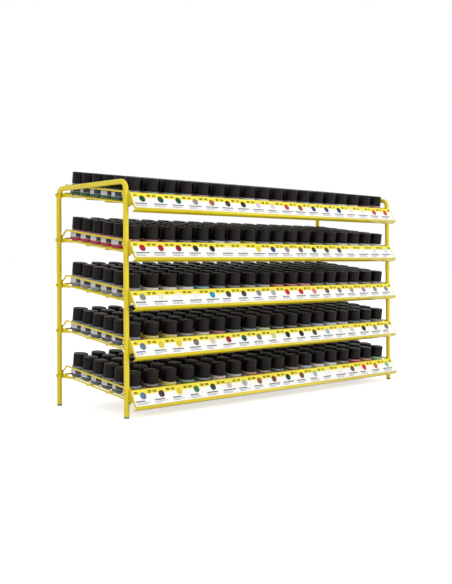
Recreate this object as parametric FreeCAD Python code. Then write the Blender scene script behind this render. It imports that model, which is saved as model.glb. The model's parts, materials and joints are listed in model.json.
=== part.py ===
"""Countertop paint rack: two bent-tube side frames carry five sloping wire shelves of paint jars.

X runs along the shelves, +Y to the back and +Z up. The origin is at the bottom, in the middle of
the whole rack's width and depth. All sizes are in millimetres.

Two helper frames are used for each shelf, and both have X in common with the rack.
  upright frame: Y from the front posts' axis, Z from that shelf's own height
  sloped frame:  U up the slope from the front posts' axis, W square to the slope from the side wires
"""
import FreeCAD
import Part
import math
import os
from FreeCAD import Placement, Rotation, Vector

# ---- jars ----
jar_diameter = 28.0
jar_body_height = 18.2
jar_shoulder_radius = 3.0
jar_heel_radius = 2.0
neck_height = 16.9
neck_to_cap_clearance = 0.3
cap_inset = 3.5                # how much narrower the cap is than the jar
cap_height = 19.6
cap_wall = 1.75
cap_top_wall = 2.0
cap_edge_radius = 1.4
cap_to_shoulder_gap = 0.4
liner_thickness = 1.0
liner_edge_gap = 0.2

# ---- how the jars stand ----
shelf_count = 5
lane_count = 18
jars_per_lane = 6
lane_pitch = 36.0
jar_gap = 0.8                  # between two jars of one lane
jar_seat_clearance = 0.3
front_jar_setback = 3.35       # from the front posts' axis to the first jar's front, up the slope
rear_clearance = 10.95         # from the last jar's back to the rear posts' axis, up the slope
lane_side_clearance = 0.95     # from an end lane's jar to the side wire
loose_jar_lanes = (3, 6, 9, 12, 15)   # on each shelf, the lane whose front jar is lifted out

# ---- wires ----
wire_diameter = 3.0            # side, cross, guard and stop wires
runner_diameter = 2.4          # floor runners and lane dividers
weld_bite = 0.4
runner_spread = 15.0           # between the two runners that carry one lane
cross_wire_count = 4
divider_end_inset = 8.0        # from the posts' axis to the first cross wire, up the slope
divider_height = 9.0
divider_corner_radius = 4.0
guard_height = 16.6
guard_bend_setback = 13.2      # from the rear posts' axis forward to the guard wire's bend
guard_end_drop = 9.0
guard_bend_radius = 4.0
front_stop_height = 8.0
rear_stop_height = 2.5
runner_overhang = 2.0

# ---- shelves ----
shelf_tilt = math.atan(0.1356)
shelf_pitch = 75.1
lowest_shelf_height = 14.65
side_wire_height = 11.5        # side wires above the label channel's lowest edge, at the front posts

# ---- side frames ----
tube_diameter = 8.4
tube_wall = 1.0
tube_corner_radius = 12.0
top_bar_rise = 49.45           # top of the frames above the top shelf's reference height
seat_gap = 0.05
plug_flange_height = 3.0
plug_stem_height = 12.0
plug_stem_clearance = 0.1

# ---- brackets and fasteners ----
bracket_thickness = 1.5
bracket_half_width = 3.2
front_bracket_bottom = 6.0
front_bracket_top = 31.0
front_bolt_height = 25.2
gusset_length = 30.0
gusset_tip_height = 2.5
gusset_peak_height = 6.5
gusset_peak_setback = 12.0
rear_bolt_height = 4.2         # above the gusset's lower edge
bolt_diameter = 3.0
bolt_hole_clearance = 0.2
bolt_head_diameter = 5.6
bolt_head_height = 1.9
bolt_head_edge_radius = 0.8
nut_across_flats = 5.5
nut_thickness = 2.2
bolt_end = 0.6                 # how far a bolt stands out of its nut

# ---- label channels and cards ----
sheet_thickness = 1.0
channel_leg_bottom = 9.0
channel_leg_top = 27.0
channel_crest = (1.1, 0.9)     # the crest's step forward and up, from the leg's top
channel_face_run = 13.2
channel_face_drop = 24.6
channel_ledge = 1.6            # out from the face's foot, under the card's lower edge
channel_hem_gap = 2.0
channel_lip_length = 8.2       # back under the ledge
channel_end_inset = 1.25       # each channel end inboard of its posts' axes
card_thickness = 0.4
card_gap = 0.05
card_width = 26.5
card_end_inset = 2.0

# ---- sizes that follow ----
cap_diameter = jar_diameter - cap_inset
cap_bore = cap_diameter - 2 * cap_wall
neck_diameter = cap_bore - 2 * neck_to_cap_clearance
wire_radius = wire_diameter / 2
runner_radius = runner_diameter / 2
tube_radius = tube_diameter / 2
cos_tilt = math.cos(shelf_tilt)
sin_tilt = math.sin(shelf_tilt)
jar_pitch = jar_diameter + jar_gap
lane_length = jars_per_lane * jar_pitch - jar_gap
jar_base = wire_radius + jar_seat_clearance
runner_level = wire_radius - runner_radius
cross_wire_level = runner_level - runner_radius - wire_radius + weld_bite
end_jar_side = (lane_count - 1) * lane_pitch / 2 + jar_diameter / 2
side_wire_x = end_jar_side + lane_side_clearance + wire_radius
bracket_outer_x = side_wire_x + wire_radius
bracket_inner_x = bracket_outer_x - bracket_thickness
post_x = bracket_outer_x + seat_gap + tube_radius
rack_depth = (front_jar_setback + lane_length + rear_clearance) * cos_tilt
top_shelf_height = lowest_shelf_height + (shelf_count - 1) * shelf_pitch
rack_height = top_shelf_height + top_bar_rise
last_cross_wire = rack_depth / cos_tilt - divider_end_inset - rear_clearance
gusset_level = side_wire_height + (rack_depth - gusset_length) * math.tan(shelf_tilt) - wire_radius
guard_bend_u = (rack_depth - guard_bend_setback) / cos_tilt + guard_height * math.tan(shelf_tilt)
channel_leg_y = -tube_radius - 2 * seat_gap - sheet_thickness / 2
shelf_names = ["shelf_%d" % (n + 1) for n in range(shelf_count)]


def shelf_height(index):
    """Height of a shelf's upright frame; shelf_1 is the top one."""
    return top_shelf_height - index * shelf_pitch


def slope_point(u, w):
    """A point of the sloped frame, given in the upright frame as (Y, Z)."""
    return (u * cos_tilt - w * sin_tilt, side_wire_height + u * sin_tilt + w * cos_tilt)


def rounded_path(points, radius):
    """A wire through points in one plane, with a tangent arc of the radius at each inner point."""
    edges = []
    start = points[0]
    for before, corner, after in zip(points, points[1:], points[2:]):
        back = (before - corner).normalize()
        ahead = (after - corner).normalize()
        half = back.getAngle(ahead) / 2
        reach = radius / math.tan(half)
        middle = corner + (back + ahead).normalize() * (radius / math.sin(half) - radius)
        arc_start = corner + back * reach
        arc_end = corner + ahead * reach
        edges.append(Part.LineSegment(start, arc_start).toShape())
        edges.append(Part.Arc(arc_start, middle, arc_end).toShape())
        start = arc_end
    edges.append(Part.LineSegment(start, points[-1]).toShape())
    return Part.Wire(edges)


def swept_rod(path, radius):
    """A round solid along a path."""
    first = path.OrderedEdges[0]
    direction = first.tangentAt(first.FirstParameter)
    centre = path.OrderedVertexes[0].Point
    section = Part.Wire(Part.makeCircle(radius, centre, direction))
    return path.makePipeShell([section], True, True)


def rod(start, end, radius):
    """A straight round rod."""
    return Part.makeCylinder(radius, (end - start).Length, start, end - start)


def plate(outline, x_low, x_high):
    """A flat plate square to X, from its outline as (Y, Z) points."""
    corners = [Vector(x_low, y, z) for y, z in outline]
    face = Part.Face(Part.makePolygon(corners + corners[:1]))
    return face.extrude(Vector(x_high - x_low, 0, 0))


def sheet_outline(path, thickness):
    """The closed outline of bent sheet that follows a path of (Y, Z) points."""
    sides = []
    for offset in (thickness / 2, -thickness / 2):
        side = []
        for i, (y, z) in enumerate(path):
            before = path[max(i - 1, 0)]
            after = path[min(i + 1, len(path) - 1)]
            normals = []
            for a, b in ((before, (y, z)), ((y, z), after)):
                length = math.hypot(b[0] - a[0], b[1] - a[1])
                if length > 0:
                    normals.append(((a[1] - b[1]) / length, (b[0] - a[0]) / length))
            sum_y = sum(n[0] for n in normals)
            sum_z = sum(n[1] for n in normals)
            mitre = len(normals) * offset / (sum_y ** 2 + sum_z ** 2)
            side.append((y + sum_y * mitre, z + sum_z * mitre))
        sides.append(side)
    return sides[0] + sides[1][::-1]


# ---- jars and caps, standing on the origin ----
def edges_at(shape, z, radius):
    """The circular edges of a turned solid at one height and radius."""
    return [
        edge for edge in shape.Edges
        if isinstance(edge.Curve, Part.Circle)
        and abs(edge.Curve.Center.z - z) < 1e-6
        and abs(edge.Curve.Radius - radius) < 1e-6
    ]


def make_jar():
    """Glass jar with its paint: a squat body and a plain neck."""
    radius = jar_diameter / 2
    body = Part.makeCylinder(radius, jar_body_height)
    body = body.makeFillet(jar_heel_radius, edges_at(body, 0, radius))
    body = body.makeFillet(jar_shoulder_radius, edges_at(body, jar_body_height, radius))
    neck = Part.makeCylinder(neck_diameter / 2, neck_height + 1, Vector(0, 0, jar_body_height - 1))
    return body.fuse(neck).removeSplitter()


def make_cap():
    """Screw cap: a cup turned upside down over the neck."""
    bottom = jar_body_height + cap_to_shoulder_gap
    radius = cap_diameter / 2
    outside = Part.makeCylinder(radius, cap_height, Vector(0, 0, bottom))
    outside = outside.makeFillet(cap_edge_radius, edges_at(outside, bottom + cap_height, radius))
    hollow = Part.makeCylinder(cap_bore / 2, cap_height - cap_top_wall, Vector(0, 0, bottom))
    return outside.cut(hollow)


def make_liner():
    """The sealing disc inside the cap, just above the neck."""
    ceiling = jar_body_height + cap_to_shoulder_gap + cap_height - cap_top_wall
    bottom = ceiling - seat_gap - liner_thickness
    return Part.makeCylinder(cap_bore / 2 - liner_edge_gap, liner_thickness, Vector(0, 0, bottom))


def lane_x(lane):
    """X of a lane's middle; lanes count from 0 at the left."""
    return (lane - (lane_count - 1) / 2) * lane_pitch


def jar_spots():
    """(lane, row, place) of every jar on a shelf, in the sloped frame; row 0 is the front."""
    first = front_jar_setback + jar_diameter / 2
    for lane in range(lane_count):
        for row in range(jars_per_lane):
            yield lane, row, Vector(lane_x(lane), first + row * jar_pitch, jar_base)


# ---- wire work, in the sloped frame ----
def make_tray():
    """Welded floor mat: side wires, cross wires under them and two runners for each lane."""
    front_u = (channel_leg_y + sheet_thickness / 2 + 2 * seat_gap) / cos_tilt
    front_u += (runner_level + runner_radius) * math.tan(shelf_tilt)
    rear_u = last_cross_wire + runner_overhang
    rods = []
    for side in (-1, 1):
        start = Vector(side * side_wire_x, -bracket_half_width, 0)
        rods.append(rod(start, Vector(side * side_wire_x, rear_u, 0), wire_radius))
    for lane in range(lane_count):
        for side in (-1, 1):
            x = lane_x(lane) + side * runner_spread / 2
            start = Vector(x, front_u, runner_level)
            rods.append(rod(start, Vector(x, rear_u, runner_level), runner_radius))
    step = (last_cross_wire - divider_end_inset) / (cross_wire_count - 1)
    for i in range(cross_wire_count):
        u = divider_end_inset + i * step
        start = Vector(-side_wire_x, u, cross_wire_level)
        rods.append(rod(start, Vector(side_wire_x, u, cross_wire_level), wire_radius))
    return rods[0].fuse(rods[1:])


def make_dividers():
    """Wire staples between the lanes, welded on the first and last cross wires."""
    foot = cross_wire_level + wire_radius - weld_bite
    staples = []
    for lane in range(lane_count - 1):
        x = lane_x(lane) + lane_pitch / 2
        corners = [
            Vector(x, divider_end_inset, foot),
            Vector(x, divider_end_inset, divider_height),
            Vector(x, last_cross_wire, divider_height),
            Vector(x, last_cross_wire, foot),
        ]
        staples.append(swept_rod(rounded_path(corners, divider_corner_radius), runner_radius))
    return Part.makeCompound(staples)


def make_stop(u, w):
    """A straight wire across the shelf that the jars lean on."""
    reach = bracket_inner_x + weld_bite
    return rod(Vector(-reach, u, w), Vector(reach, u, w), wire_radius)


def make_guards():
    """Two side guard wires and the front and rear stop wires, in the upright frame."""
    front_u = bracket_half_width / cos_tilt + guard_height * math.tan(shelf_tilt) - weld_bite
    start = slope_point(front_u, guard_height)
    bend = slope_point(guard_bend_u, guard_height)
    end = (rack_depth - bracket_half_width + weld_bite, bend[1] - guard_end_drop)
    wires = []
    for side in (-1, 1):
        corners = [Vector(side * side_wire_x, y, z) for y, z in (start, bend, end)]
        wires.append(swept_rod(rounded_path(corners, guard_bend_radius), wire_radius))
    reach = wire_radius + jar_seat_clearance
    stops = [
        make_stop(front_jar_setback - reach, front_stop_height),
        make_stop(front_jar_setback + lane_length + reach, rear_stop_height),
    ]
    for stop in stops:
        stop.Placement = slope_placement()
        wires.append(stop)
    return Part.makeCompound(wires)


def slope_placement():
    """From the sloped frame to the upright frame."""
    turn = Rotation(Vector(1, 0, 0), math.degrees(shelf_tilt))
    return Placement(Vector(0, 0, side_wire_height), turn)


# ---- brackets, in the upright frame ----
def bolt_points():
    """(Y, Z) of a shelf's front and rear bolts."""
    return ((0, front_bolt_height), (rack_depth, gusset_level + rear_bolt_height))


def make_brackets():
    """Four plates that join a shelf's wires to the posts."""
    guard_end = slope_point(guard_bend_u, guard_height)[1] - guard_end_drop
    front = [
        (-bracket_half_width, front_bracket_bottom),
        (bracket_half_width, front_bracket_bottom),
        (bracket_half_width, front_bracket_top),
        (-bracket_half_width, front_bracket_top),
    ]
    rear = [
        (rack_depth - gusset_length, gusset_level),
        (rack_depth + bracket_half_width, gusset_level),
        (rack_depth + bracket_half_width, guard_end + wire_radius),
        (rack_depth - bracket_half_width, guard_end + wire_radius),
        (rack_depth - bracket_half_width, gusset_level + gusset_peak_height),
        (rack_depth - gusset_peak_setback, gusset_level + gusset_peak_height),
        (rack_depth - gusset_length, gusset_level + gusset_tip_height),
    ]
    hole_radius = bolt_diameter / 2 + bolt_hole_clearance
    brackets = []
    for outline, (y, z) in zip((front, rear), bolt_points()):
        for low, high in ((bracket_inner_x, bracket_outer_x), (-bracket_outer_x, -bracket_inner_x)):
            blank = plate(outline, low, high)
            hole = rod(Vector(low - 1, y, z), Vector(high + 1, y, z), hole_radius)
            brackets.append(blank.cut(hole))
    return Part.makeCompound(brackets)


# ---- label channel and card, in the upright frame ----
def channel_path():
    """The middle of the label channel's bent sheet, from its rear leg over the crest to its lip."""
    top = (channel_leg_y, channel_leg_top)
    crest = (top[0] - channel_crest[0], top[1] + channel_crest[1])
    foot = (crest[0] - channel_face_run, crest[1] - channel_face_drop)
    down, out = face_directions()
    nose = (foot[0] + out[0] * channel_ledge, foot[1] + out[1] * channel_ledge)
    hem = sheet_thickness + channel_hem_gap
    under = (nose[0] + down[0] * hem, nose[1] + down[1] * hem)
    lip = (under[0] - out[0] * channel_lip_length, under[1] - out[1] * channel_lip_length)
    return [(channel_leg_y, channel_leg_bottom), top, crest, foot, nose, under, lip]


def face_directions():
    """Unit (Y, Z) directions down the label face and square out of it."""
    length = math.hypot(channel_face_run, channel_face_drop)
    down = (-channel_face_run / length, -channel_face_drop / length)
    return down, (down[1], -down[0])


def channel_half_length():
    """Half of the label channel's length along X."""
    return post_x - channel_end_inset


def make_channel():
    """The folded sheet that stands against the front posts and carries the label card."""
    reach = channel_half_length()
    return plate(sheet_outline(channel_path(), sheet_thickness), -reach, reach)


def make_card():
    """The label card, which lies on the channel's sloping face and stands on its ledge."""
    foot = channel_path()[3]
    down, out = face_directions()
    low = sheet_thickness / 2 + jar_seat_clearance
    near = sheet_thickness / 2 + card_gap
    corners = []
    for along, off in ((low, 0), (low + card_width, 0), (low + card_width, 1), (low, 1)):
        height = near + off * card_thickness
        y = foot[0] - down[0] * along + out[0] * height
        z = foot[1] - down[1] * along + out[1] * height
        corners.append((y, z))
    reach = channel_half_length() - card_end_inset
    return plate(corners, -reach, reach)


# ---- side frames and their plugs, with Y from the front posts' axis and Z from the floor ----
def make_side_frame(side, bolt_heights):
    """One bent tube: front post, top bar and rear post, drilled across for the shelf bolts."""
    x = side * post_x
    top = rack_height - tube_radius
    corners = [
        Vector(x, 0, plug_flange_height),
        Vector(x, 0, top),
        Vector(x, rack_depth, top),
        Vector(x, rack_depth, plug_flange_height),
    ]
    path = rounded_path(corners, tube_corner_radius)
    tube = swept_rod(path, tube_radius).cut(swept_rod(path, tube_radius - tube_wall))
    holes = []
    for y, z in bolt_heights:
        start = Vector(x - tube_diameter, y, z)
        end = Vector(x + tube_diameter, y, z)
        holes.append(rod(start, end, bolt_diameter / 2 + bolt_hole_clearance))
    return tube.cut(holes)


def make_plugs():
    """Push-in plugs that close the four post ends and stand on the floor."""
    stem_radius = tube_radius - tube_wall - plug_stem_clearance
    plugs = []
    for x in (-post_x, post_x):
        for y in (0, rack_depth):
            foot = Part.makeCylinder(tube_radius, plug_flange_height, Vector(x, y, 0))
            stem = Part.makeCylinder(stem_radius, plug_flange_height + plug_stem_height, Vector(x, y, 0))
            plugs.append(foot.fuse(stem).removeSplitter())
    return Part.makeCompound(plugs)


def make_bolt(side, y, z):
    """A button-head bolt through a post and its bracket, with the head outside."""
    head_x = post_x + tube_radius + seat_gap
    end_x = bracket_inner_x - seat_gap - nut_thickness - bolt_end
    radius = bolt_head_diameter / 2
    head = Part.makeCylinder(radius, bolt_head_height)
    head = head.makeFillet(bolt_head_edge_radius, edges_at(head, bolt_head_height, radius))
    shank = Part.makeCylinder(bolt_diameter / 2, head_x - end_x, Vector(0, 0, end_x - head_x))
    bolt = head.fuse(shank).removeSplitter()
    bolt.Placement = Placement(Vector(side * head_x, y, z), Rotation(Vector(0, 1, 0), side * 90))
    return bolt


def make_nut(side, y, z):
    """A hexagon nut on the inner side of a bracket."""
    corner = nut_across_flats / 2 / math.cos(math.pi / 6)
    outline = []
    for i in range(6):
        angle = i * math.pi / 3
        outline.append((y + corner * math.sin(angle), z + corner * math.cos(angle)))
    outer = bracket_inner_x - seat_gap
    low, high = sorted((side * outer, side * (outer - nut_thickness)))
    bore = rod(Vector(low - 1, y, z), Vector(high + 1, y, z), bolt_diameter / 2 + seat_gap)
    return plate(outline, low, high).cut(bore)


# ---- build and write ----
channel_section = sheet_outline(channel_path(), sheet_thickness)
front_reach = -min(y for y, z in channel_section)
front_post_y = (front_reach - rack_depth - tube_radius) / 2


def moved(shape, y, z):
    """A copy of a shape, shifted."""
    return shape.translated(Vector(0, y, z))


def write(name, shape):
    """Write one node's STEP file, in the rack's frame."""
    shape.exportStep("parts/%s.step" % name)
    print("%-26s %4d solids  %9.1f mm3" % (name, len(shape.Solids), shape.Volume))


def write_frames():
    """Side frames, plugs, bolts and nuts."""
    holes = [
        (y, z + shelf_height(i)) for i in range(shelf_count) for y, z in bolt_points()
    ]
    for name, side in (("left_side_frame", -1), ("right_side_frame", 1)):
        write(name, moved(make_side_frame(side, holes), front_post_y, 0))
    write("post_end_plugs", moved(make_plugs(), front_post_y, 0))
    for name, make in (("shelf_bolts", make_bolt), ("shelf_nuts", make_nut)):
        pieces = [make(side, y, z) for side in (-1, 1) for y, z in holes]
        write(name, moved(Part.makeCompound(pieces), front_post_y, 0))


def write_shelves():
    """Every piece of the five shelves, which differ only in height and in their loose jar."""
    slope = slope_placement()
    upright_parts = {
        "wire_tray": placed(make_tray(), slope),
        "lane_dividers": placed(make_dividers(), slope),
        "guard_wires": make_guards(),
        "brackets": make_brackets(),
        "label_channel": make_channel(),
        "label_card": make_card(),
    }
    jar, cap, liner = make_jar(), make_cap(), make_liner()
    for index, shelf in enumerate(shelf_names):
        height = shelf_height(index)
        for name, shape in upright_parts.items():
            write("%s_%s" % (shelf, name), moved(shape, front_post_y, height))
        stock = {"stock_jars": [], "stock_caps": []}
        for lane, row, spot in jar_spots():
            place = Placement(Vector(0, front_post_y, height), Rotation()) * slope
            place = place * Placement(spot, Rotation())
            if row == 0 and lane == loose_jar_lanes[index] - 1:
                write(shelf + "_front_jar", placed(jar, place))
                write(shelf + "_front_liner", placed(liner, place))
                write(shelf + "_front_cap", placed(cap, place))
            else:
                stock["stock_jars"].append(placed(jar, place))
                stock["stock_caps"].append(placed(cap, place))
        for name, shapes in stock.items():
            write("%s_%s" % (shelf, name), Part.makeCompound(shapes))


def placed(shape, placement):
    """A copy of a shape, moved by a placement."""
    copy = shape.copy()
    copy.Placement = placement.multiply(copy.Placement)
    return copy


os.makedirs("parts", exist_ok=True)
write_frames()
write_shelves()
print("posts' axes: X +-%.3f, front Y %.3f, depth %.3f" % (post_x, front_post_y, rack_depth))
print("frame height %.2f, tilt %.3f degrees" % (rack_height, math.degrees(shelf_tilt)))
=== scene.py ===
"""Looks of the counter paint rack: yellow powder-coated wire shelves, printed label cards and jars of paint.

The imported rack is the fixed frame. Each class below builds or dresses one sub-assembly of it. Sizes are in
millimetres in the dataclass fields and become metres in the meshes. X runs along the shelves, +Y to the back.
"""
from __future__ import annotations

import json
import logging
import math
import random
from dataclasses import dataclass
from enum import Enum
from typing import Iterable, Iterator, Sequence

import bmesh
import bpy
from mathutils import Matrix, Vector

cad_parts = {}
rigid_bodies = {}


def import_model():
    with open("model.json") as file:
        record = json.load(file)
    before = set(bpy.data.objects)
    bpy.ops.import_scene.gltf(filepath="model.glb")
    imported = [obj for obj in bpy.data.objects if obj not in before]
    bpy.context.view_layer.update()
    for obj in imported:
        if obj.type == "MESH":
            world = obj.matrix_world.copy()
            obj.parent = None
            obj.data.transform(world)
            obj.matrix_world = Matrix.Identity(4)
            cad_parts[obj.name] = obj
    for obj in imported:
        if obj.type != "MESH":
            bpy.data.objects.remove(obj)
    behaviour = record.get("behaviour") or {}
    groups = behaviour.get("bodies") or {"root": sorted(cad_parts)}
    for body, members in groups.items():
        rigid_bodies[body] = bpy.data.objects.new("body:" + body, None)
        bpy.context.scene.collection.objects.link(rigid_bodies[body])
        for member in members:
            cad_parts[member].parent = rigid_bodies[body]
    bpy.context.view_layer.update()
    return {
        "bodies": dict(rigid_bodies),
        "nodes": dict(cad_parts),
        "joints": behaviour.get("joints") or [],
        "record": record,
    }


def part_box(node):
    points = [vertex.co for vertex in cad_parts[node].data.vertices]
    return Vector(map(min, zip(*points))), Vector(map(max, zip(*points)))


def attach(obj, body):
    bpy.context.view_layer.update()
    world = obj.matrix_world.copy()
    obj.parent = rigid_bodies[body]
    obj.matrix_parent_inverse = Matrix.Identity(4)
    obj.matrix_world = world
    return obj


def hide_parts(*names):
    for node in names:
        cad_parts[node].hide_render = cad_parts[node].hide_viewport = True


MM = 0.001
RACK_BODY = "rack"
PAINT_LAYER = "paint"
WRAP_LAYER = "wrap"
LOG = logging.getLogger("paint_rack")

# A colour Mix node's sockets, which share their names with its number and vector ones.
MIX_FACTOR, MIX_UNDER, MIX_OVER, MIX_RESULT = 0, 6, 7, 2
# The span that fractal noise mostly keeps to.
NOISE_SPAN = (0.25, 0.75)
# The wrap map counts in units of 100 mm.
WRAP_UNIT = 100

Colour = tuple[float, float, float, float]
Socket = bpy.types.NodeSocket


def linear(red: int, green: int, blue: int) -> Colour:
    """Turns a display colour into the linear colour that shaders use.

    Args:
        red: Display red, 0 to 255.
        green: Display green, 0 to 255.
        blue: Display blue, 0 to 255.

    Returns:
        Linear red, green, blue and an alpha of 1.
    """
    levels = [level / 255 for level in (red, green, blue)]
    parts = [c / 12.92 if c <= 0.04045 else ((c + 0.055) / 1.055) ** 2.4 for c in levels]
    return parts[0], parts[1], parts[2], 1.0


class Paint(Enum):
    """The paints in the jars, as display colours."""

    FOREST = (8, 84, 40)
    MID_GREY = (142, 144, 140)
    TERRACOTTA = (166, 98, 66)
    UMBER = (62, 42, 32)
    SOOT = (38, 34, 32)
    PALE_GREY = (212, 213, 214)
    PINK_GREY = (226, 214, 222)
    RUST = (188, 76, 36)
    COPPER = (164, 82, 44)
    COBALT = (34, 64, 122)
    NAVY = (32, 36, 74)
    CREAM = (247, 241, 214)
    VERMILION = (206, 64, 28)
    SCARLET = (184, 20, 44)
    MAROON = (132, 24, 32)
    BLACK = (26, 24, 25)
    WHITE = (251, 251, 250)
    SUNFLOWER = (236, 212, 46)
    TAUPE = (122, 112, 104)
    BOTTLE = (34, 66, 48)
    OLIVE = (70, 74, 50)
    OLIVE_GREY = (84, 86, 76)
    ICE = (226, 234, 242)
    SKY = (34, 152, 190)
    CHARCOAL = (58, 60, 62)
    LIGHT_GREY = (176, 178, 178)
    RED = (206, 34, 40)
    PINK = (226, 128, 142)
    MOSS = (104, 90, 48)
    TAN = (186, 156, 116)
    TAN_GREY = (150, 138, 120)
    LAVENDER = (156, 152, 172)
    STEEL_BLUE = (108, 124, 146)
    SAND = (226, 208, 180)
    CRIMSON = (168, 26, 58)
    TEAL = (22, 84, 92)
    SAGE = (116, 128, 112)
    LIME_CREAM = (206, 214, 136)
    HAZE = (176, 190, 200)
    SLATE_BLUE = (98, 128, 164)
    CHOCOLATE = (72, 48, 42)
    LEAF = (56, 128, 62)
    PINE = (34, 62, 42)
    BLUSH = (224, 196, 182)
    BROWN = (120, 78, 50)
    MINT = (150, 196, 138)
    AMBER = (206, 118, 44)
    # A darker slate that paints shade on the left end jars of shelves 4 and 5.
    SHADED_SLATE = (70, 86, 98)

    def shade(self) -> Colour:
        """Gives the paint's linear colour."""
        return linear(*self.value)


P = Paint
SHELF_PAINTS: dict[int, tuple[Paint, ...]] = {
    1: (P.FOREST, P.FOREST, P.FOREST, P.MID_GREY, P.TERRACOTTA, P.UMBER, P.SOOT, P.PALE_GREY, P.PINK_GREY,
        P.RUST, P.COPPER, P.COBALT, P.COBALT, P.NAVY, P.CREAM, P.CREAM, P.VERMILION, P.VERMILION),
    2: (P.SCARLET, P.SCARLET, P.MAROON, P.BLACK, P.BLACK, P.WHITE, P.WHITE, P.SUNFLOWER, P.COBALT,
        P.MID_GREY, P.TAUPE, P.BOTTLE, P.OLIVE, P.OLIVE_GREY, P.WHITE, P.WHITE, P.ICE, P.ICE),
    3: (P.MID_GREY, P.CREAM, P.WHITE, P.WHITE, P.SKY, P.CHARCOAL, P.CHARCOAL, P.MID_GREY, P.LIGHT_GREY,
        P.RED, P.RED, P.PINK, P.MOSS, P.TAN_GREY, P.TAN, P.LAVENDER, P.MID_GREY, P.MID_GREY),
    4: (P.STEEL_BLUE, P.SUNFLOWER, P.SUNFLOWER, P.TAUPE, P.SAND, P.CRIMSON, P.TEAL, P.SAGE, P.LIME_CREAM,
        P.BLACK, P.BLACK, P.OLIVE, P.HAZE, P.ICE, P.PALE_GREY, P.BLACK, P.MID_GREY, P.TAUPE),
    5: (P.SLATE_BLUE, P.CHOCOLATE, P.SUNFLOWER, P.LEAF, P.PINE, P.BLUSH, P.LIGHT_GREY, P.TERRACOTTA, P.BROWN,
        P.BOTTLE, P.BROWN, P.HAZE, P.WHITE, P.WHITE, P.MOSS, P.RED, P.AMBER, P.MINT),
}


class Ink(Enum):
    """The inks printed on the label cards, as display colours."""

    NUMBER = (34, 30, 8)
    TITLE = (48, 50, 60)
    SMALL_PRINT = (146, 148, 154)

    def shade(self) -> Colour:
        """Gives the ink's linear colour."""
        return linear(*self.value)


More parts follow.
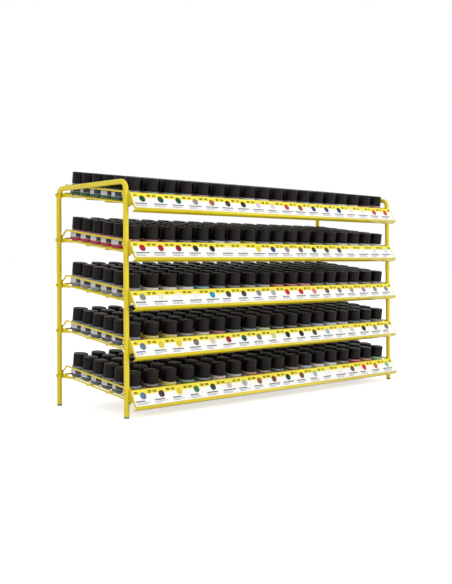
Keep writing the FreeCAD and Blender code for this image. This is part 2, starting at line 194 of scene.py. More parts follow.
# ---------------------------------------------------------------------------------------------- finishes
class Recipe:
    """Writes the shader nodes of one material round a single Principled shader."""

    def __init__(self, name: str) -> None:
        """Starts a material.

        Args:
            name: The material's name.
        """
        self.material = bpy.data.materials.new(name)
        self.material.use_nodes = True
        self.tree = self.material.node_tree
        self.shader = next(n for n in self.tree.nodes if n.type == "BSDF_PRINCIPLED")

    def node(self, kind: str, **settings: object) -> bpy.types.Node:
        """Adds a node.

        Args:
            kind: The node's type name.
            settings: Values for the node's own properties.

        Returns:
            The new node.
        """
        made = self.tree.nodes.new(kind)
        for key, value in settings.items():
            setattr(made, key, value)
        return made

    def feed(self, target: Socket, value: Socket | float | Sequence[float]) -> None:
        """Links a socket, or sets a plain value, on an input.

        Args:
            target: The input.
            value: What goes into it.
        """
        if isinstance(value, bpy.types.NodeSocket):
            self.tree.links.new(value, target)
        else:
            target.default_value = value

    def place(self) -> Socket:
        """Gives the object's own coordinates, in metres."""
        return self.node("ShaderNodeTexCoord").outputs["Object"]

    def wrap(self) -> tuple[Socket, Socket]:
        """Reads the wrap map.

        Returns:
            Its two coordinates, along or around first and then up, in units of 100 mm.
        """
        uv = self.node("ShaderNodeUVMap", uv_map=WRAP_LAYER)
        split = self.node("ShaderNodeSeparateXYZ")
        self.feed(split.inputs[0], uv.outputs[0])
        return split.outputs[0], split.outputs[1]

    def paint(self) -> Socket:
        """Gives the colour stored on the mesh for each jar, dot or mark."""
        return self.node("ShaderNodeAttribute", attribute_name=PAINT_LAYER).outputs["Color"]

    def math(self, operation: str, first: Socket | float, second: Socket | float = 0.0) -> Socket:
        """Adds a math node.

        Args:
            operation: The operation's name.
            first: The first operand.
            second: The second operand.

        Returns:
            The result's socket.
        """
        made = self.node("ShaderNodeMath", operation=operation)
        self.feed(made.inputs[0], first)
        self.feed(made.inputs[1], second)
        return made.outputs[0]

    def between(self, value: Socket, low: float, high: float) -> Socket:
        """Tests whether a value lies between two limits.

        Args:
            value: The value.
            low: The lower limit.
            high: The upper limit.

        Returns:
            The socket of a 1 between the limits and a 0 elsewhere.
        """
        above = self.math("GREATER_THAN", value, low)
        below = self.math("LESS_THAN", value, high)
        return self.math("MULTIPLY", above, below)

    def noise(self, scale: float, detail: float = 2.0, stretch: Sequence[float] = (1, 1, 1)) -> Socket:
        """Adds fractal noise on the object's own coordinates.

        Args:
            scale: Cells in a metre.
            detail: Octaves.
            stretch: A factor for each axis.

        Returns:
            The noise value's socket, 0 to 1.
        """
        mapping = self.node("ShaderNodeMapping")
        self.feed(mapping.inputs["Vector"], self.place())
        mapping.inputs["Scale"].default_value = tuple(stretch)
        made = self.node("ShaderNodeTexNoise")
        self.feed(made.inputs["Vector"], mapping.outputs[0])
        made.inputs["Scale"].default_value = scale
        made.inputs["Detail"].default_value = detail
        return made.outputs[0]

    def ranged(self, value: Socket, low: float, high: float) -> Socket:
        """Stretches a noise over a range, clamped at both ends.

        Args:
            value: The noise.
            low: What its lower values become.
            high: What its higher values become.

        Returns:
            The stretched value's socket.
        """
        made = self.node("ShaderNodeMapRange")
        self.feed(made.inputs["Value"], value)
        limits = {"From Min": NOISE_SPAN[0], "From Max": NOISE_SPAN[1], "To Min": low, "To Max": high}
        for name, limit in limits.items():
            made.inputs[name].default_value = limit
        return made.outputs[0]

    def blend(self, factor: Socket | float, under: Socket | Colour, over: Socket | Colour) -> Socket:
        """Mixes two colours.

        Args:
            factor: How much of the second colour shows.
            under: The first colour.
            over: The second colour.

        Returns:
            The mixed colour's socket.
        """
        made = self.node("ShaderNodeMix", data_type="RGBA")
        self.feed(made.inputs[MIX_FACTOR], factor)
        self.feed(made.inputs[MIX_UNDER], under)
        self.feed(made.inputs[MIX_OVER], over)
        return made.outputs[MIX_RESULT]

    def bump(self, height: Socket, distance: float, strength: float = 1.0) -> None:
        """Roughens the surface by a height.

        Args:
            height: The height's socket, 0 to 1.
            distance: How far a height of 1 stands out, in metres.
            strength: How much of it shows.
        """
        made = self.node("ShaderNodeBump")
        made.inputs["Strength"].default_value = strength
        made.inputs["Distance"].default_value = distance
        self.feed(made.inputs["Height"], height)
        self.feed(self.shader.inputs["Normal"], made.outputs[0])

    def use(self, **values: Socket | float | Sequence[float]) -> bpy.types.Material:
        """Sets or links the shader's inputs.

        Args:
            values: What goes into each input; a name's underscores stand for spaces.

        Returns:
            The finished material.
        """
        for key, value in values.items():
            self.feed(self.shader.inputs[key.replace("_", " ")], value)
        return self.material


@dataclass(frozen=True)
class PowderCoat:
    """Gloss yellow powder coat with a fine orange peel."""

    colour: Colour = linear(238, 218, 22)
    shaded: Colour = linear(230, 206, 18)

    def make(self) -> bpy.types.Material:
        """Makes the coat.

        Returns:
            The material.
        """
        r = Recipe("powder_coat_yellow")
        cloud = r.ranged(r.noise(14, 3), 0, 1)
        r.bump(r.noise(900, 2), 0.00002, 0.5)
        return r.use(
            Base_Color=r.blend(cloud, self.colour, self.shaded),
            Roughness=r.ranged(r.noise(60, 3), 0.26, 0.36),
            Specular_IOR_Level=0.35,
            Coat_Weight=0.15,
            Coat_Roughness=0.12,
        )


@dataclass(frozen=True)
class CapPlastic:
    """Black moulded screw-cap plastic with a satin face and a painted highlight round the top rim."""

    colour: Colour = linear(13, 8, 8)
    worn: Colour = linear(24, 17, 17)
    # Colour of the painted highlight round the cap's top rim, laid between the two heights below.
    rim: Colour = linear(150, 143, 143)
    highlight_foot: float = 0.3782
    highlight_top: float = 0.3803

    def make(self) -> bpy.types.Material:
        """Makes the plastic.

        Returns:
            The material.
        """
        r = Recipe("cap_black_satin")
        up = r.wrap()[1]
        r.bump(r.noise(1600, 2), 0.00003, 0.35)
        body = r.blend(r.ranged(r.noise(45, 4), 0, 1), self.colour, self.worn)
        # A broken pale band round the top rim: painted highlight.
        edge = r.math("MULTIPLY", r.between(up, self.highlight_foot, self.highlight_top), r.ranged(r.noise(160, 3), 0.15, 0.9))
        return r.use(
            Base_Color=r.blend(edge, body, self.rim),
            Roughness=r.ranged(r.noise(90, 3), 0.38, 0.52),
            Specular_IOR_Level=0.14,
        )


@dataclass(frozen=True)
class JarFinish:
    """Clear glass over paint, with painted shade on the paint and a printed paper label round most of the body."""

    paper: Colour = linear(222, 220, 224)
    block: Colour = linear(46, 46, 54)
    lines: Colour = linear(150, 148, 156)
    gleam: Colour = linear(196, 198, 198)
    # A near-black that darkens the jars' paint by the share below: painted shade.
    painted_shade: Colour = linear(16, 16, 15)
    painted_shade_share: float = 0.14
    shoulder_foot: float = 0.150
    shoulder_gleam: float = 0.34
    label_around: tuple[float, float] = (-0.33, 0.35)
    label_up: tuple[float, float] = (0.024, 0.124)
    paint_top: float = 0.056
    blocks_around: tuple[tuple[float, float], ...] = ((0.01, 0.15), (-0.29, -0.17))
    blocks_up: tuple[float, float] = (0.060, 0.124)
    text_around: tuple[float, float] = (0.17, 0.31)
    text_up: tuple[float, float] = (0.064, 0.118)
    line_pitch: float = 420.0
    word_pitch: float = 310.0
    word_gap: float = -0.45
    paper_roughness: float = 0.42

    def make(self) -> bpy.types.Material:
        """Makes the glass and its label.

        Returns:
            The material.
        """
        r = Recipe("jar_glass_and_label")
        around, up = r.wrap()
        # Darkens the stored paint towards near-black: painted shade inside the jars.
        paint = r.blend(self.painted_shade_share, r.paint(), self.painted_shade)
        swirl = r.ranged(r.noise(70, 3, (1, 1, 2.5)), 0.0, 0.09)
        body = r.blend(swirl, paint, self.gleam)
        shoulder = r.math("MULTIPLY", r.math("GREATER_THAN", up, self.shoulder_foot), self.shoulder_gleam)
        glass = r.blend(shoulder, body, self.gleam)
        label = r.math("MULTIPLY", r.between(around, *self.label_around), r.between(up, *self.label_up))
        text = r.math("MULTIPLY", r.between(up, *self.text_up), r.between(around, *self.text_around))
        rows = r.math("GREATER_THAN", r.math("SINE", r.math("MULTIPLY", up, self.line_pitch)), 0.0)
        waves = r.math("SINE", r.math("MULTIPLY", around, self.word_pitch))
        words = r.math("GREATER_THAN", waves, self.word_gap)
        printed = r.math("MULTIPLY", r.math("MULTIPLY", rows, words), text)
        paper = r.blend(printed, self.paper, self.lines)
        dark = r.math("MAXIMUM", *(r.between(around, *span) for span in self.blocks_around))
        dark = r.math("MULTIPLY", dark, r.between(up, *self.blocks_up))
        paper = r.blend(dark, paper, self.block)
        paper = r.blend(r.math("LESS_THAN", up, self.paint_top), paper, paint)
        gloss = r.ranged(r.noise(120, 2), 0.05, 0.10)
        rough = r.math("ADD", r.math("MULTIPLY", label, self.paper_roughness), gloss)
        r.bump(label, 0.00006, 0.6)
        return r.use(Base_Color=r.blend(label, glass, paper), Roughness=rough, IOR=1.5)


@dataclass(frozen=True)
class CardStock:
    """Laminated label card: a yellow band over white, with pale ends."""

    white: Colour = linear(254, 254, 253)
    band: Colour = linear(250, 232, 30)
    rim: Colour = linear(252, 244, 150)
    fibre: Colour = linear(226, 222, 206)
    band_foot: float = 0.188
    half_length: float = 3.2495
    rim_width: float = 0.012

    def make(self) -> bpy.types.Material:
        """Makes the card.

        Returns:
            The material.
        """
        r = Recipe("label_card_print")
        along, up = r.wrap()
        face = r.blend(r.math("GREATER_THAN", up, self.band_foot), self.white, self.band)
        end = r.math("GREATER_THAN", r.math("ABSOLUTE", along), self.half_length - self.rim_width)
        face = r.blend(end, face, self.rim)
        flecks = r.ranged(r.noise(260, 4, (1, 3, 3)), 0.0, 0.05)
        r.bump(r.noise(700, 3), 0.00002, 0.3)
        return r.use(
            Base_Color=r.blend(flecks, face, self.fibre),
            Roughness=r.ranged(r.noise(40, 2), 0.34, 0.46),
        )


@dataclass(frozen=True)
class PrintInk:
    """Printed ink, in the colour stored on each dot and mark."""

    key: Colour = linear(20, 18, 18)
    pinhole: Colour = linear(235, 235, 230)
    density: float = 0.06

    def make(self) -> bpy.types.Material:
        """Makes the ink.

        Returns:
            The material.
        """
        r = Recipe("print_ink")
        mottle = r.ranged(r.noise(1500, 2), 0.0, 0.01)
        dense = r.blend(self.density, r.paint(), self.key)
        return r.use(
            Base_Color=r.blend(mottle, dense, self.pinhole),
            Roughness=r.ranged(r.noise(50, 2), 0.32, 0.44),
            Specular_IOR_Level=0.15,
        )


@dataclass(frozen=True)
class FastenerSteel:
    """Yellow-passivated zinc plate of the bolts and nuts."""

    bright: Colour = linear(222, 204, 92)
    dull: Colour = linear(184, 166, 66)

    def make(self) -> bpy.types.Material:
        """Makes the steel.

        Returns:
            The material.
        """
        r = Recipe("zinc_plated_steel")
        spangle = r.ranged(r.noise(500, 3), 0, 1)
        r.bump(r.noise(1800, 2), 0.00001, 0.4)
        return r.use(
            Base_Color=r.blend(spangle, self.bright, self.dull),
            Roughness=r.ranged(r.noise(300, 3), 0.28, 0.46),
            Metallic=1.0,
        )


@dataclass(frozen=True)
class PlugPlastic:
    """Grey moulded plastic of the post end plugs."""

    colour: Colour = linear(120, 120, 112)
    scuffed: Colour = linear(146, 145, 136)

    def make(self) -> bpy.types.Material:
        """Makes the plastic.

        Returns:
            The material.
        """
        r = Recipe("plug_grey_plastic")
        r.bump(r.noise(1200, 3), 0.00004, 0.5)
        return r.use(
            Base_Color=r.blend(r.ranged(r.noise(160, 4), 0, 1), self.colour, self.scuffed),
            Roughness=r.ranged(r.noise(220, 2), 0.5, 0.66),
        )


@dataclass(frozen=True)
class LinerFoam:
    """White foam of the sealing discs."""

    colour: Colour = linear(232, 230, 224)
    cell: Colour = linear(206, 203, 196)
    cells_per_metre: float = 2200.0

    def make(self) -> bpy.types.Material:
        """Makes the foam.

        Returns:
            The material.
        """
        r = Recipe("liner_foam_white")
        cells = r.node("ShaderNodeTexVoronoi")
        r.feed(cells.inputs["Vector"], r.place())
        cells.inputs["Scale"].default_value = self.cells_per_metre
        r.bump(cells.outputs["Distance"], 0.00008, 0.6)
        return r.use(
            Base_Color=r.blend(cells.outputs["Distance"], self.cell, self.colour),
            Roughness=r.ranged(r.noise(400, 2), 0.7, 0.85),
        )


class Finish(Enum):
    """Every finish on the rack, by the record's slot that it dresses."""

    COAT = "yellow_coat"
    CAP = "cap_plastic"
    JAR = "jar_glass"
    CARD = "label_card"
    STEEL = "fastener_steel"
    PLUG = "plug_plastic"
    FOAM = "liner_foam"


class Finishes:
    """Makes each finish once and hands it out."""

    def __init__(self) -> None:
        """Makes every material."""
        recipes = {
            Finish.COAT: PowderCoat(),
            Finish.CAP: CapPlastic(),
            Finish.JAR: JarFinish(),
            Finish.CARD: CardStock(),
            Finish.STEEL: FastenerSteel(),
            Finish.PLUG: PlugPlastic(),
            Finish.FOAM: LinerFoam(),
        }
        self.materials = {finish: recipe.make() for finish, recipe in recipes.items()}
        self.ink = PrintInk().make()

    def __getitem__(self, finish: Finish) -> bpy.types.Material:
        """Gives one finish's material."""
        return self.materials[finish]

    def dress(self, node: bpy.types.Object, finish: Finish) -> None:
        """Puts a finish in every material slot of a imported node."""
        for slot in node.material_slots:
            slot.material = self.materials[finish]


# ------------------------------------------------------------------------------------------------ datum
@dataclass(frozen=True)
class RackDatum:
    """Where the shelves stand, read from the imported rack, with the helper frames of each shelf.

    Heights and places are in a shelf's upright frame. tray_low is the height of the mat's lowest wire there.
    """

    tube_radius: float = 4.2
    shelf_count: int = 5
    lane_count: int = 18
    row_count: int = 6
    lane_pitch: float = 36.0
    jar_pitch: float = 28.8
    first_jar: float = 17.35
    jar_base: float = 1.8
    side_wire_height: float = 11.5
    tilt: float = math.atan(0.1356)
    face_foot: tuple[float, float] = (-19.1, 3.3)
    face_run: float = 13.2
    face_drop: float = 24.6
    tray_low: float = 9.0931

    def shelves(self) -> range:
        """Gives the shelf numbers, from the top one down."""
        return range(1, self.shelf_count + 1)

    def front_post_y(self) -> float:
        """Gives the front posts' axis along Y, in metres."""
        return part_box("left_side_frame")[0].y + self.tube_radius * MM

    def upright(self, shelf: int) -> Matrix:
        """Gives the matrix from a shelf's upright frame: Y from the front posts, Z from its own height."""
        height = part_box(f"shelf_{shelf}_wire_tray")[0].z - self.tray_low * MM
        return Matrix.Translation((0, self.front_post_y(), height))

    def sloped(self, shelf: int) -> Matrix:
        """Gives the matrix from a shelf's sloped frame: Y up the slope, Z square to it from the side wires."""
        lift = Matrix.Translation((0, 0, self.side_wire_height * MM))
        return self.upright(shelf) @ lift @ Matrix.Rotation(self.tilt, 4, "X")

    def card(self, shelf: int) -> Matrix:
        """Places a shelf's label face.

        Args:
            shelf: The shelf's number.

        Returns:
            The matrix from the face's own frame: Y up the face from its foot, Z out of it.
        """
        y, z = self.face_foot
        turn = Matrix.Rotation(math.atan2(self.face_drop, self.face_run), 4, "X")
        return self.upright(shelf) @ Matrix.Translation((0, y * MM, z * MM)) @ turn

    def lane_x(self, lane: int) -> float:
        """Gives a lane's middle along X, in millimetres; lanes count from 0 at the left."""
        return (lane - (self.lane_count - 1) / 2) * self.lane_pitch

    def loose_lane(self, shelf: int) -> int:
        """Gives the lane whose front jar lifts out of a shelf."""
        low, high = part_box(f"shelf_{shelf}_front_jar")
        return round((low.x + high.x) / 2 / MM / self.lane_pitch + (self.lane_count - 1) / 2)

    def jar_spots(self, shelf: int) -> Iterator[tuple[int, int, Matrix]]:
        """Goes through the jars of a shelf, lane by lane.

        Args:
            shelf: The shelf's number.

        Yields:
            Each jar's lane, its row, with 0 at the front, and its standing place.
        """
        frame = self.sloped(shelf)
        for lane in range(self.lane_count):
            for row in range(self.row_count):
                u = self.first_jar + row * self.jar_pitch
                spot = Vector((self.lane_x(lane), u, self.jar_base)) * MM
                yield lane, row, frame @ Matrix.Translation(spot)


# --------------------------------------------------------------------------------------------- mesh work
class Bench:
    """Mesh steps that several sub-assemblies share."""

    @staticmethod
    def turned(profile: Sequence[tuple[float, float]], segments: int) -> bmesh.types.BMesh:
        """Turns a profile into a closed round shape.

        Args:
            profile: Radius and height pairs in millimetres, from one end's rim to the other's.
            segments: Steps round the axis.

        Returns:
            The shape, with its two ends closed.
        """
        bm = bmesh.new()
        points = [bm.verts.new((radius * MM, 0, height * MM)) for radius, height in profile]
        edges = [bm.edges.new(pair) for pair in zip(points, points[1:])]
        bmesh.ops.spin(
            bm,
            geom=points + edges,
            cent=(0, 0, 0),
            axis=(0, 0, 1),
            angle=math.tau,
            steps=segments,
            use_merge=True,
            use_duplicate=False,
        )
        bmesh.ops.remove_doubles(bm, verts=bm.verts, dist=1e-7)
        bmesh.ops.holes_fill(bm, edges=bm.edges, sides=0)
        bmesh.ops.recalc_face_normals(bm, faces=bm.faces)
        return bm

    @staticmethod
    def wrapped(bm: bmesh.types.BMesh) -> None:
        """Writes the wrap map of a round shape: arc length and height, in units of 100 mm.

        Args:
            bm: The shape, upright on the origin.
        """
        layer = bm.loops.layers.uv.new(WRAP_LAYER)
        radius = max(v.co.xy.length for v in bm.verts)
        for face in bm.faces:
            middle = face.calc_center_median()
            base = math.atan2(-middle.x, -middle.y)
            for loop in face.loops:
                co = loop.vert.co
                turn = math.atan2(-co.x, -co.y) - base
                turn = (turn + math.pi) % math.tau - math.pi
                loop[layer].uv = ((base + turn) * radius / MM / WRAP_UNIT, co.z / MM / WRAP_UNIT)

    @staticmethod
    def tinted(bm: bmesh.types.BMesh, faces: Iterable[bmesh.types.BMFace], shade: Colour) -> None:
        """Stores one colour on some faces.

        Args:
            bm: The shape.
            faces: Its faces that take the colour.
            shade: The linear colour.
        """
        layer = bm.loops.layers.float_color.get(PAINT_LAYER) or bm.loops.layers.float_color.new(PAINT_LAYER)
        for face in faces:
            for loop in face.loops:
                loop[layer] = shade

    @staticmethod
    def piece(
        bm: bmesh.types.BMesh, name: str, materials: Sequence[bpy.types.Material], crease: float = 35.0
    ) -> bpy.types.Object:
        """Makes a finished shape an object at the origin, with smooth faces and sharp creases.

        Args:
            bm: The shape, which is freed.
            name: The piece's name.
            materials: Its materials, in slot order.
            crease: The angle in degrees past which an edge stays sharp.

        Returns:
            The new object.
        """
        mesh = bpy.data.meshes.new(name)
        bm.to_mesh(mesh)
        bm.free()
        for material in materials:
            mesh.materials.append(material)
        mesh.shade_smooth()
        mesh.set_sharp_from_angle(angle=math.radians(crease))
        made = bpy.data.objects.new(name, mesh)
        bpy.context.scene.collection.objects.link(made)
        return made

    @staticmethod
    def joined(bm: bmesh.types.BMesh, part: bpy.types.Mesh, place: Matrix) -> list[bmesh.types.BMFace]:
        """Adds a copy of a mesh to a shape.

        Args:
            bm: The shape that grows.
            part: The mesh to add.
            place: Where the copy goes.

        Returns:
            The new faces.
        """
        known = set(bm.faces)
        copy = part.copy()
        copy.transform(place)
        bm.from_mesh(copy)
        bpy.data.meshes.remove(copy)
        return [face for face in bm.faces if face not in known]


# ------------------------------------------------------------------------------------------ sub-assemblies
@dataclass
class SteelWork:
    """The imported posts, wires, brackets and fasteners, which keep their own shapes."""

    finishes: Finishes
    nodes: dict[str, bpy.types.Object]

    def dress(self) -> None:
        """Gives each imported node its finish."""
        kinds = {
            "side_frame": Finish.COAT,
            "wire_tray": Finish.COAT,
            "lane_dividers": Finish.COAT,
            "guard_wires": Finish.COAT,
            "brackets": Finish.COAT,
            "label_channel": Finish.COAT,
            "plugs": Finish.PLUG,
            "bolts": Finish.STEEL,
            "nuts": Finish.STEEL,
            "liner": Finish.FOAM,
            "cap": Finish.CAP,
            "caps": Finish.CAP,
            "jar": Finish.JAR,
            "jars": Finish.JAR,
            "card": Finish.CARD,
        }
        for name, node in self.nodes.items():
            for ending, finish in kinds.items():
                if name.endswith(ending):
                    self.finishes.dress(node, finish)
        LOG.info("dressed %d packed nodes", len(self.nodes))


@dataclass
class LabelChannel:
    """The folded sheet under each label card, with rounded bends."""

    datum: RackDatum
    finishes: Finishes
    sheet: float = 1.0
    half_length: float = 326.95
    bend: float = 0.55
    hem_bend: float = 0.33
    crease: float = 50.0
    path: tuple[tuple[float, float], ...] = (
        (-4.8, 9.0), (-4.8, 27.0), (-5.9, 27.9), (-19.1, 3.3), (-20.510, 4.057), (-21.928, 1.413), (-14.703, -2.464),
    )

    def build(self, shelf: int) -> bpy.types.Object:
        """Folds one channel.

        Args:
            shelf: The shelf's number.

        Returns:
            The channel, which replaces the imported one.
        """
        bm = bmesh.new()
        verts = [bm.verts.new((-self.half_length * MM, y * MM, z * MM)) for y, z in self.path]
        edges = [bm.edges.new(pair) for pair in zip(verts, verts[1:])]
        grown = bmesh.ops.extrude_edge_only(bm, edges=edges)["geom"]
        far = [v for v in grown if isinstance(v, bmesh.types.BMVert)]
        bmesh.ops.translate(bm, verts=far, vec=(2 * self.half_length * MM, 0, 0))
        for radius, folds in ((self.bend, (1, 2, 3)), (self.hem_bend, (4, 5))):
            places = [Vector((0, *self.path[i])) * MM for i in folds]
            lines = [
                e for e in bm.edges
                if len(e.link_faces) == 2
                and any((e.verts[0].co.yz - p.yz).length < 1e-6 for p in places)
            ]
            bmesh.ops.bevel(
                bm, geom=lines, offset=radius * MM, offset_type="OFFSET", segments=3,
                profile=0.5, affect="EDGES", material=-1,
            )
        bmesh.ops.recalc_face_normals(bm, faces=bm.faces)
        bmesh.ops.transform(bm, matrix=self.datum.upright(shelf), verts=bm.verts)
        made = Bench.piece(bm, f"shelf_{shelf}_channel", [self.finishes[Finish.COAT]], self.crease)
        solid = made.modifiers.new("sheet", "SOLIDIFY")
        solid.thickness = self.sheet * MM
        solid.offset = 0.0
        solid.use_even_offset = True
        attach(made, RACK_BODY)
        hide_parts(f"shelf_{shelf}_label_channel")
        LOG.info("folded channel %d", shelf)
        return made


@dataclass(frozen=True)
class TextLine:
    """A row of short bars that stands for a line of words, with spans that its lengths are drawn from."""

    drop: float
    length: tuple[float, float]
    height: float
    letters: tuple[float, float]
    ink: Ink


@dataclass
class LabelCard:
    """The printed card on each channel: a dot, a number and three rows of short bars for every lane."""

    datum: RackDatum
    finishes: Finishes
    half_length: float = 324.95
    low: float = 0.8
    width: float = 26.5
    near: float = 0.55
    thickness: float = 0.4
    corner: float = 0.8
    ink_lift: float = 0.03
    dot_radius: float = 5.8
    dot_segments: int = 28
    dot_height: float = 16.7
    number_height: float = 22.6
    number_size: float = 4.6
    number_left: float = -15.6
    number_drop: float = 0.35
    number_stretch: float = 1.12
    number_weight: float = 0.045
    number_resolution: int = 3
    mark_left: float = 10.8
    mark_width: float = 7.2
    mark_thickness: float = 1.45
    mark_lines: tuple[tuple[float, float], ...] = ((1.1, 1.0), (-1.1, 0.86))
    title_height: float = 8.2
    title_left: float = -16.4
    letter_gap: float = 0.32
    text_lines: tuple[TextLine, ...] = (
        TextLine(0.0, (17, 29), 2.0, (1.2, 2.4), Ink.TITLE),
        TextLine(-2.8, (16, 26), 0.95, (0.9, 2.6), Ink.SMALL_PRINT),
        TextLine(-4.7, (12, 24), 0.95, (0.9, 2.6), Ink.SMALL_PRINT),
    )
    seed: int = 400

    def build(self, shelf: int) -> bpy.types.Object:
        """Cuts and prints one card.

        Args:
            shelf: The shelf's number.

        Returns:
            The card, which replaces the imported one.
        """
        bm = self.blank()
        rng = random.Random(self.seed + shelf)
        for lane, paint in enumerate(SHELF_PAINTS[shelf]):
            x = self.datum.lane_x(lane)
            self.dot(bm, x, paint)
            self.number(bm, x, shelf, lane)
            self.greek(bm, x, rng)
        bmesh.ops.transform(bm, matrix=self.datum.card(shelf), verts=bm.verts)
        made = Bench.piece(bm, f"shelf_{shelf}_card", [self.finishes[Finish.CARD], self.finishes.ink])
        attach(made, f"shelf_{shelf}_card")
        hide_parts(f"shelf_{shelf}_label_card")
        LOG.info("printed card %d", shelf)
        return made

    def blank(self) -> bmesh.types.BMesh:
        """Cuts the bare card, flat on its face's frame.

        Returns:
            The card with its wrap map.
        """
        bm = bmesh.new()
        flat = bmesh.ops.create_grid(bm, x_segments=1, y_segments=1, size=0.5)["verts"]
        size = Vector((2 * self.half_length, self.width, 1)) * MM
        bmesh.ops.scale(bm, vec=size, verts=flat)
        bmesh.ops.bevel(
            bm, geom=bm.verts[:], offset=self.corner * MM, segments=4, profile=0.5, affect="VERTICES", material=-1
        )
        middle = Vector((0, self.low + self.width / 2, self.near)) * MM
        bmesh.ops.translate(bm, vec=middle, verts=bm.verts)
        grown = bmesh.ops.extrude_face_region(bm, geom=bm.faces[:])["geom"]
        top = [v for v in grown if isinstance(v, bmesh.types.BMVert)]
        bmesh.ops.translate(bm, vec=(0, 0, self.thickness * MM), verts=top)
        bmesh.ops.recalc_face_normals(bm, faces=bm.faces)
        layer = bm.loops.layers.uv.new(WRAP_LAYER)
        for face in bm.faces:
            for loop in face.loops:
                loop[layer].uv = loop.vert.co.xy / MM / WRAP_UNIT
        Bench.tinted(bm, bm.faces, Paint.WHITE.shade())
        return bm

    def ink_level(self) -> float:
        """Gives the ink's height over the channel's face, in millimetres."""
        return self.near + self.thickness + self.ink_lift

    def inked(self, bm: bmesh.types.BMesh, faces: Iterable[bmesh.types.BMFace], shade: Colour) -> None:
        """Marks new faces as ink of one colour, and turns them outwards.

        Args:
            bm: The card.
            faces: The new faces.
            shade: The ink's linear colour.
        """
        chosen = list(faces)
        for face in chosen:
            face.material_index = 1
            if face.normal.z < 0:
                face.normal_flip()
        Bench.tinted(bm, chosen, shade)

    def dot(self, bm: bmesh.types.BMesh, x: float, paint: Paint) -> None:
        """Prints a lane's paint dot.

        Args:
            bm: The card.
            x: The lane's middle, in millimetres.
            paint: The lane's paint.
        """
        place = Matrix.Translation(Vector((x, self.dot_height, self.ink_level())) * MM)
        verts = bmesh.ops.create_circle(
            bm, cap_ends=True, radius=self.dot_radius * MM, segments=self.dot_segments, matrix=place
        )["verts"]
        self.inked(bm, verts[0].link_faces, paint.shade())

    def bar(self, bm: bmesh.types.BMesh, x: float, y: float, size: tuple[float, float], ink: Ink) -> None:
        """Prints a small bar.

        Args:
            bm: The card.
            x: Its left end, in millimetres.
            y: Its middle height up the face, in millimetres.
            size: Its length and thickness, in millimetres.
            ink: Its ink.
        """
        place = Matrix.Translation(Vector((x + size[0] / 2, y, self.ink_level())) * MM)
        scale = Matrix.Diagonal((size[0] * MM, size[1] * MM, 1, 1))
        verts = bmesh.ops.create_grid(bm, x_segments=1, y_segments=1, size=0.5, matrix=place @ scale)["verts"]
        self.inked(bm, verts[0].link_faces, ink.shade())

    def number(self, bm: bmesh.types.BMesh, x: float, shelf: int, lane: int) -> None:
        """Prints a lane's plain number, such as 101, and its two short lines.

        Args:
            bm: The card.
            x: The lane's middle, in millimetres.
            shelf: The shelf's number.
            lane: The lane, counted from 0.
        """
        curve = bpy.data.curves.new("number", "FONT")
        curve.body = f"{shelf}{lane + 1:02d}"
        curve.resolution_u = self.number_resolution
        curve.offset = self.number_weight
        holder = bpy.data.objects.new("number", curve)
        mesh = bpy.data.meshes.new_from_object(holder)
        y = self.number_height - self.number_size * self.number_drop
        place = Matrix.Translation(Vector((x + self.number_left, y, self.ink_level())) * MM)
        size = Matrix.Diagonal((self.number_size * self.number_stretch * MM, self.number_size * MM, 1, 1))
        self.inked(bm, Bench.joined(bm, mesh, place @ size), Ink.NUMBER.shade())
        bpy.data.objects.remove(holder)
        bpy.data.curves.remove(curve)
        bpy.data.meshes.remove(mesh)
        for level, share in self.mark_lines:
            bar = (self.mark_width * share, self.mark_thickness)
            self.bar(bm, x + self.mark_left, self.number_height + level, bar, Ink.NUMBER)

    def greek(self, bm: bmesh.types.BMesh, x: float, rng: random.Random) -> None:
        """Prints the lines below a dot as rows of short bars, which stand for words.

        Args:
            bm: The card.
            x: The lane's middle, in millimetres.
            rng: The source of the rows' and bars' lengths.
        """
        left = x + self.title_left
        lengths = [rng.uniform(*line.length) for line in self.text_lines]
        for line, length in zip(self.text_lines, lengths):
            at = 0.0
            while at < length:
                wide = min(rng.uniform(*line.letters), length - at)
                self.bar(bm, left + at, self.title_height + line.drop, (wide, line.height), line.ink)
                at += wide + self.letter_gap


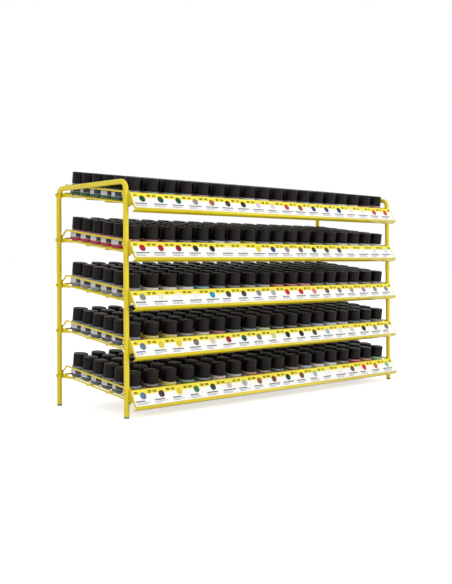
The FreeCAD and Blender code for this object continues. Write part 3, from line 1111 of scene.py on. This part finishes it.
@dataclass
class JarStock:
    """The jars and caps of every shelf: the fixed stock and the loose front jar.

    One field lists the shelf and lane pairs whose jars take a darker slate than their card's dot, as painted shade
    on those end jars.
    """

    datum: RackDatum
    finishes: Finishes
    segments: int = 16
    jar_profile: tuple[tuple[float, float], ...] = (
        (12.4, 0.0), (14.0, 1.8), (14.0, 14.6), (13.2, 17.2), (10.2, 18.2),
    )
    cap_profile: tuple[tuple[float, float], ...] = (
        (10.5, 18.6), (12.25, 18.6), (12.25, 36.9), (11.85, 37.85), (10.8, 38.17),
    )
    turn_spread: float = 14.0
    side_play: float = 1.4
    end_play: float = 0.5
    shaded_end_lanes: tuple[tuple[int, int], ...] = ((4, 0), (5, 0))
    seed: int = 70

    def template(self, profile: Sequence[tuple[float, float]], segments: int) -> bpy.types.Mesh:
        """Turns a jar or a cap at the origin.

        Args:
            profile: Its radius and height pairs.
            segments: Steps round the axis.

        Returns:
            The mesh, with its wrap map.
        """
        bm = Bench.turned(profile, segments)
        Bench.wrapped(bm)
        mesh = bpy.data.meshes.new("template")
        bm.to_mesh(mesh)
        bm.free()
        return mesh

    def build(self, shelf: int) -> None:
        """Fills one shelf with jars and caps.

        Args:
            shelf: The shelf's number.
        """
        jar = self.template(self.jar_profile, self.segments)
        cap = self.template(self.cap_profile, self.segments)
        stock = {"stock_jars": bmesh.new(), "stock_caps": bmesh.new()}
        front = {"front_jar": bmesh.new(), "front_cap": bmesh.new()}
        loose = self.datum.loose_lane(shelf)
        rng = random.Random(self.seed + shelf)
        for lane, row, spot in self.datum.jar_spots(shelf):
            turn = math.radians(rng.uniform(-self.turn_spread, self.turn_spread))
            play = self.end_play if lane in (0, self.datum.lane_count - 1) else self.side_play
            shift = rng.uniform(-play, play) * MM
            is_loose = row == 0 and lane == loose
            if not is_loose:
                spot = spot @ Matrix.Translation((shift, 0, 0))
            place = spot @ Matrix.Rotation(turn, 4, "Z")
            # The listed end jars take the darker slate as painted shade.
            paint = Paint.SHADED_SLATE if (shelf, lane) in self.shaded_end_lanes else SHELF_PAINTS[shelf][lane]
            shade = paint.shade()
            target = front if is_loose else stock
            for (name, bm), part in zip(target.items(), (jar, cap)):
                Bench.tinted(bm, Bench.joined(bm, part, place), shade)
        self.hand_over(shelf, stock, RACK_BODY)
        self.hand_over(shelf, front, None)
        for mesh in (jar, cap):
            bpy.data.meshes.remove(mesh)
        LOG.info("stocked shelf %d", shelf)

    def hand_over(self, shelf: int, shapes: dict[str, bmesh.types.BMesh], body: str | None) -> None:
        """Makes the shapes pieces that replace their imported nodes.

        Args:
            shelf: The shelf's number.
            shapes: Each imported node's short name and its new shape.
            body: The body they ride on, or None for each one's own.
        """
        for name, bm in shapes.items():
            finish = Finish.CAP if "cap" in name else Finish.JAR
            made = Bench.piece(bm, f"shelf_{shelf}_{name}_look", [self.finishes[finish]])
            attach(made, body or f"shelf_{shelf}_{name.replace('front_', '')}")
            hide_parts(f"shelf_{shelf}_{name}")


# ------------------------------------------------------------------------------------------------ studio
@dataclass(frozen=True)
class Lamp:
    """A square lamp: its place, the point it faces and its side in metres, and its power in watts."""

    name: str
    place: tuple[float, float, float]
    aim: tuple[float, float, float]
    size: float
    power: float

    def hang(self) -> None:
        """Makes the lamp and puts it in the scene."""
        data = bpy.data.lights.new(self.name, "AREA")
        data.size = self.size
        data.energy = self.power
        made = bpy.data.objects.new(self.name, data)
        made.location = self.place
        made.rotation_mode = "QUATERNION"
        made.rotation_quaternion = (Vector(self.aim) - Vector(self.place)).to_track_quat("-Z", "Y")
        bpy.context.scene.collection.objects.link(made)


@dataclass
class Studio:
    """Pale floor, white surroundings and soft square lamps."""

    surroundings: float = 0.74
    floor_glow: float = 0.60
    floor_reach: float = 30.0
    lamps: tuple[Lamp, ...] = (
        Lamp("key", (0.9, -2.2, 1.4), (0, 0, 0.15), 1.6, 15.0),
        Lamp("fill", (-2.2, -0.6, 1.3), (0, 0, 0.2), 1.6, 4.5),
        Lamp("low", (-0.2, -1.9, 0.3), (0, 0, 0.2), 0.6, 3.0),
    )

    def build(self) -> None:
        """Makes the floor, the world and the lamps."""
        self.floor()
        self.world()
        for lamp in self.lamps:
            lamp.hang()
        LOG.info("lit the studio")

    def floor(self) -> None:
        """Lays a wide pale floor that still takes the rack's shadow."""
        bm = bmesh.new()
        bmesh.ops.create_grid(bm, x_segments=1, y_segments=1, size=self.floor_reach)
        r = Recipe("studio_floor")
        ray = r.node("ShaderNodeLightPath")
        either = r.math("MAXIMUM", ray.outputs["Is Camera Ray"], ray.outputs["Is Glossy Ray"])
        seen = r.math("MAXIMUM", either, ray.outputs["Is Transmission Ray"])
        glow = r.math("MULTIPLY", seen, self.floor_glow)
        paper = r.blend(r.ranged(r.noise(3, 2), 0, 1), linear(246, 246, 246), linear(243, 243, 243))
        material = r.use(
            Base_Color=paper, Roughness=0.9, Emission_Color=(1, 1, 1, 1), Emission_Strength=glow
        )
        floor = Bench.piece(bm, "studio_floor", [material])

    def world(self) -> None:
        """Surrounds the rack with white, at full strength only where it is seen."""
        world = bpy.data.worlds.new("studio")
        bpy.context.scene.world = world
        world.use_nodes = True
        tree = world.node_tree
        back = next(n for n in tree.nodes if n.type == "BACKGROUND")
        back.inputs["Color"].default_value = (1, 1, 1, 1)
        path = tree.nodes.new("ShaderNodeLightPath")
        either = tree.nodes.new("ShaderNodeMath")
        either.operation = "MAXIMUM"
        tree.links.new(path.outputs["Is Camera Ray"], either.inputs[0])
        tree.links.new(path.outputs["Is Glossy Ray"], either.inputs[1])
        level = tree.nodes.new("ShaderNodeMapRange")
        level.inputs["To Min"].default_value = self.surroundings
        level.inputs["To Max"].default_value = 1.0
        tree.links.new(either.outputs[0], level.inputs["Value"])
        tree.links.new(level.outputs[0], back.inputs["Strength"])


@dataclass
class ViewCamera:
    """The camera at the left front of the rack, a little above its middle.

    The place is in metres, the angles are in radians, and the lens and its sensor are in millimetres.
    """

    place: tuple[float, float, float] = (-1.15070, -1.17697, 0.22835)
    heading: float = 0.7559
    rise: float = 0.0183
    roll: float = -0.0070
    lens: float = 55.24
    sensor: float = 36.0
    near: float = 0.05
    shift: float = -0.071

    def build(self) -> None:
        """Makes the camera and gives it to the scene."""
        data = bpy.data.cameras.new("view")
        data.lens = self.lens
        data.sensor_width = self.sensor
        data.sensor_fit = "AUTO"
        data.shift_y = self.shift
        data.clip_start = self.near
        ahead = Vector((
            math.sin(self.heading) * math.cos(self.rise),
            math.cos(self.heading) * math.cos(self.rise),
            math.sin(self.rise),
        ))
        right = Vector((math.cos(self.heading), -math.sin(self.heading), 0))
        up = right.cross(ahead)
        tilted_right = right * math.cos(self.roll) + up * math.sin(self.roll)
        tilted_up = up * math.cos(self.roll) - right * math.sin(self.roll)
        turn = Matrix((tilted_right, tilted_up, -ahead)).transposed().to_4x4()
        made = bpy.data.objects.new("view", data)
        made.matrix_world = Matrix.Translation(self.place) @ turn
        bpy.context.scene.collection.objects.link(made)
        bpy.context.scene.camera = made


def main() -> None:
    """Builds every sub-assembly in order."""
    logging.basicConfig(level=logging.INFO, format="%(message)s")
    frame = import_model()
    bpy.context.scene.view_settings.view_transform = "Standard"
    ViewCamera().build()
    Studio().build()
    datum = RackDatum()
    finishes = Finishes()
    SteelWork(finishes, frame["nodes"]).dress()
    channels = LabelChannel(datum, finishes)
    cards = LabelCard(datum, finishes)
    jars = JarStock(datum, finishes)
    for shelf in datum.shelves():
        channels.build(shelf)
        cards.build(shelf)
        jars.build(shelf)


if __name__ == "__main__":
    main()
